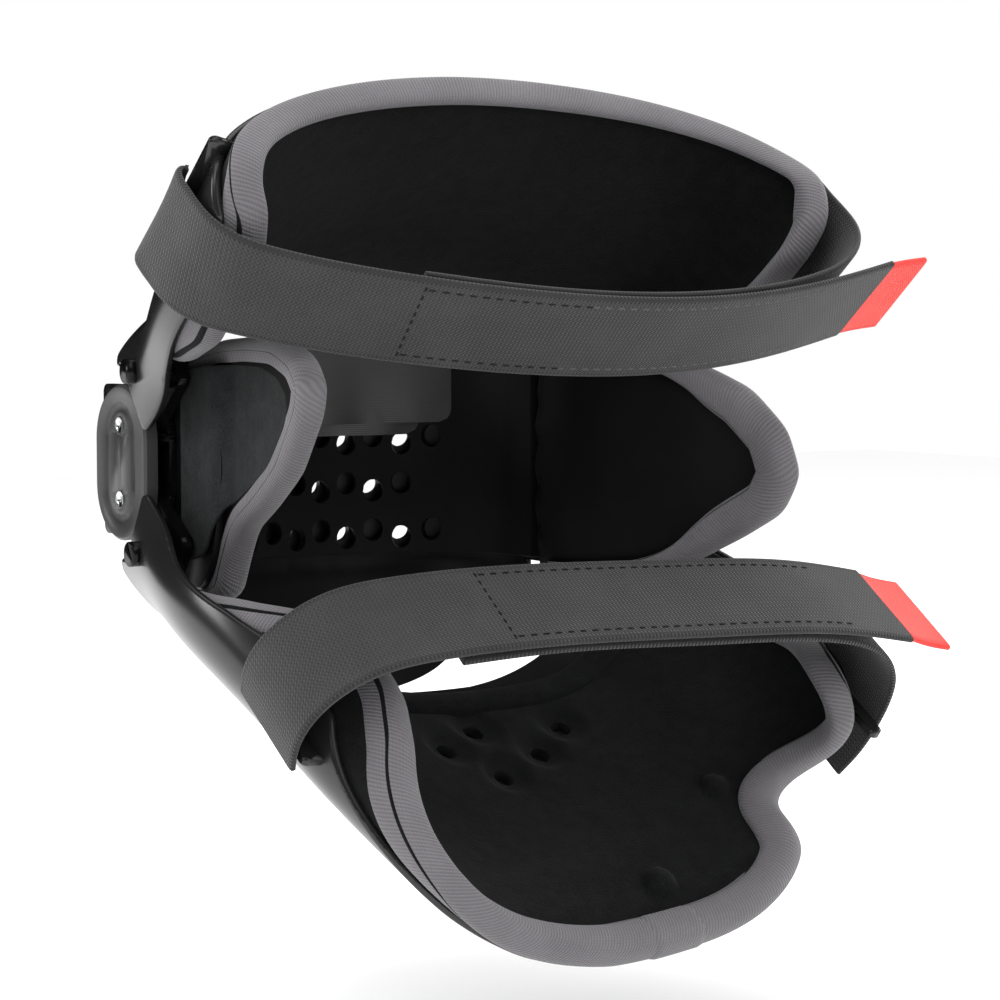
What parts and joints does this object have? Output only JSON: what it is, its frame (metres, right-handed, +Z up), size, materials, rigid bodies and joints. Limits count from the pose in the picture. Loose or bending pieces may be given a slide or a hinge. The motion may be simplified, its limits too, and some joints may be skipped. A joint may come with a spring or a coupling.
{
  "type": "knee brace",
  "caption": "Hard-shell knee brace with padded thigh, knee and shin sections, geared two-pivot side hinges and two webbing straps with pull tabs, shown half bent.",
  "frame": {"origin": "knee centre: on the line midway between the two hinges' upper and lower pivots, midway between the hinges", "axes": "+X to the wearer's right side of the brace, +Y to the front of the knee, +Z up the leg line through both pivots"},
  "size_m": [0.2432, 0.223, 0.2658],
  "materials": {
    "binding": "fine ribbed twill tape over foam with a thin piping line",
    "brass_post": "turned",
    "dark_metal": "black coated steel",
    "gloss_shell": "high gloss moulded polymer, fine scuffs",
    "hinge_cover": "satin moulded cover",
    "hinge_steel": "black coated steel",
    "label": "black satin, left bare",
    "lining": "brushed knit over foam",
    "moulded_black": "moulded",
    "red_tab": "woven red tape",
    "webbing": "elastic webbing with fine weave and stitching",
    "zinc": "bright zinc plate"
  },
  "bodies": {
    "shin_frame": {"calf_strap": "webbing", "calf_strap_guide_left": "gloss_shell", "calf_strap_guide_right": "gloss_shell", "calf_strap_return": "webbing", "calf_strap_tab": "red_tab", "shin_arm_rivet_left": "dark_metal", "shin_arm_rivet_right": "dark_metal", "shin_arm_spacer_left": "moulded_black", "shin_arm_spacer_right": "moulded_black", "shin_binding": "binding", "shin_hinge_arm_left": "hinge_steel", "shin_hinge_arm_right": "hinge_steel", "shin_pad": "lining", "shin_shell": "gloss_shell"},
    "thigh_frame": {"care_label_back": "label", "care_label_front": "label", "thigh_arm_rivet_left": "dark_metal", "thigh_arm_rivet_right": "dark_metal", "thigh_arm_spacer_left": "moulded_black", "thigh_arm_spacer_right": "moulded_black", "thigh_binding": "binding", "thigh_hinge_arm_left": "hinge_steel", "thigh_hinge_arm_right": "hinge_steel", "thigh_pad": "lining", "thigh_shell": "gloss_shell", "thigh_strap": "webbing", "thigh_strap_guide_left": "gloss_shell", "thigh_strap_guide_right": "gloss_shell", "thigh_strap_return": "webbing", "thigh_strap_tab": "red_tab"},
    "knee_carrier": {"extension_stop_left": "moulded_black", "extension_stop_right": "moulded_black", "hinge_cover_left": "hinge_cover", "hinge_cover_right": "hinge_cover", "hinge_plate_left": "hinge_steel", "hinge_plate_right": "hinge_steel", "knee_cup": "gloss_shell", "knee_liner": "lining", "knee_wing_binding_left": "binding", "knee_wing_binding_right": "binding", "knee_wing_pad_left": "lining", "knee_wing_pad_right": "lining", "pivot_post_lower_left": "brass_post", "pivot_post_lower_right": "brass_post", "pivot_post_upper_left": "brass_post", "pivot_post_upper_right": "brass_post", "pivot_screw_lower_left": "zinc", "pivot_screw_lower_right": "zinc", "pivot_screw_upper_left": "zinc", "pivot_screw_upper_right": "zinc"}
  },
  "joints": [
    {"name": "thigh_hinge", "type": "hinge", "parent": "knee_carrier", "child": "thigh_frame", "pos_m": [0, 0, 0.012], "axis": [1, 0, 0], "range_deg": [-53, 4]},
    {"name": "shin_hinge", "type": "hinge", "parent": "knee_carrier", "child": "shin_frame", "pos_m": [0, 0, -0.012], "axis": [1, 0, 0], "range_deg": [-4, 53]}
  ],
  "couplings": [
    {"joint": "shin_hinge", "follows": "thigh_hinge", "ratio": -1}
  ]
}
